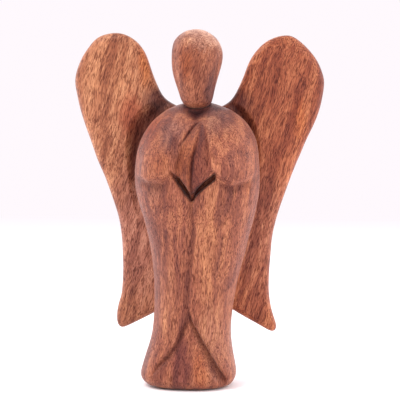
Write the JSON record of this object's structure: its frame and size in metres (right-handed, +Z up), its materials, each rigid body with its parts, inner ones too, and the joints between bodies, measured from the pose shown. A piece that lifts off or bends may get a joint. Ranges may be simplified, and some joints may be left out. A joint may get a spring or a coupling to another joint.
{
  "type": "carved wooden angel figurine",
  "caption": "Carved hardwood angel: faceless egg-shaped head, long robe with praying hands, and folded wings standing up beside the head.",
  "frame": {"origin": "middle of the flat underside of the base", "axes": "+Z up through the head, -Y the way the figure faces, +X to a viewer's right when looking at the front"},
  "size_m": [0.1457, 0.0568, 0.2001],
  "materials": {
    "body_wood": "oiled and waxed reddish-brown hardwood, satin",
    "head_wood": "oiled and waxed reddish-brown hardwood, satin",
    "left_wing_wood": "oiled and waxed golden-brown hardwood, satin",
    "right_wing_wood": "oiled and waxed reddish-brown hardwood, satin",
    "dowel_wood": "plain unfinished dowel"
  },
  "bodies": {
    "root": {"body": "body_wood", "head": "head_wood", "left_wing": "left_wing_wood", "right_wing": "right_wing_wood", "neck_dowel": "dowel_wood", "left_wing_upper_dowel": "dowel_wood", "left_wing_lower_dowel": "dowel_wood", "right_wing_upper_dowel": "dowel_wood", "right_wing_lower_dowel": "dowel_wood"}
  },
  "joints": []
}
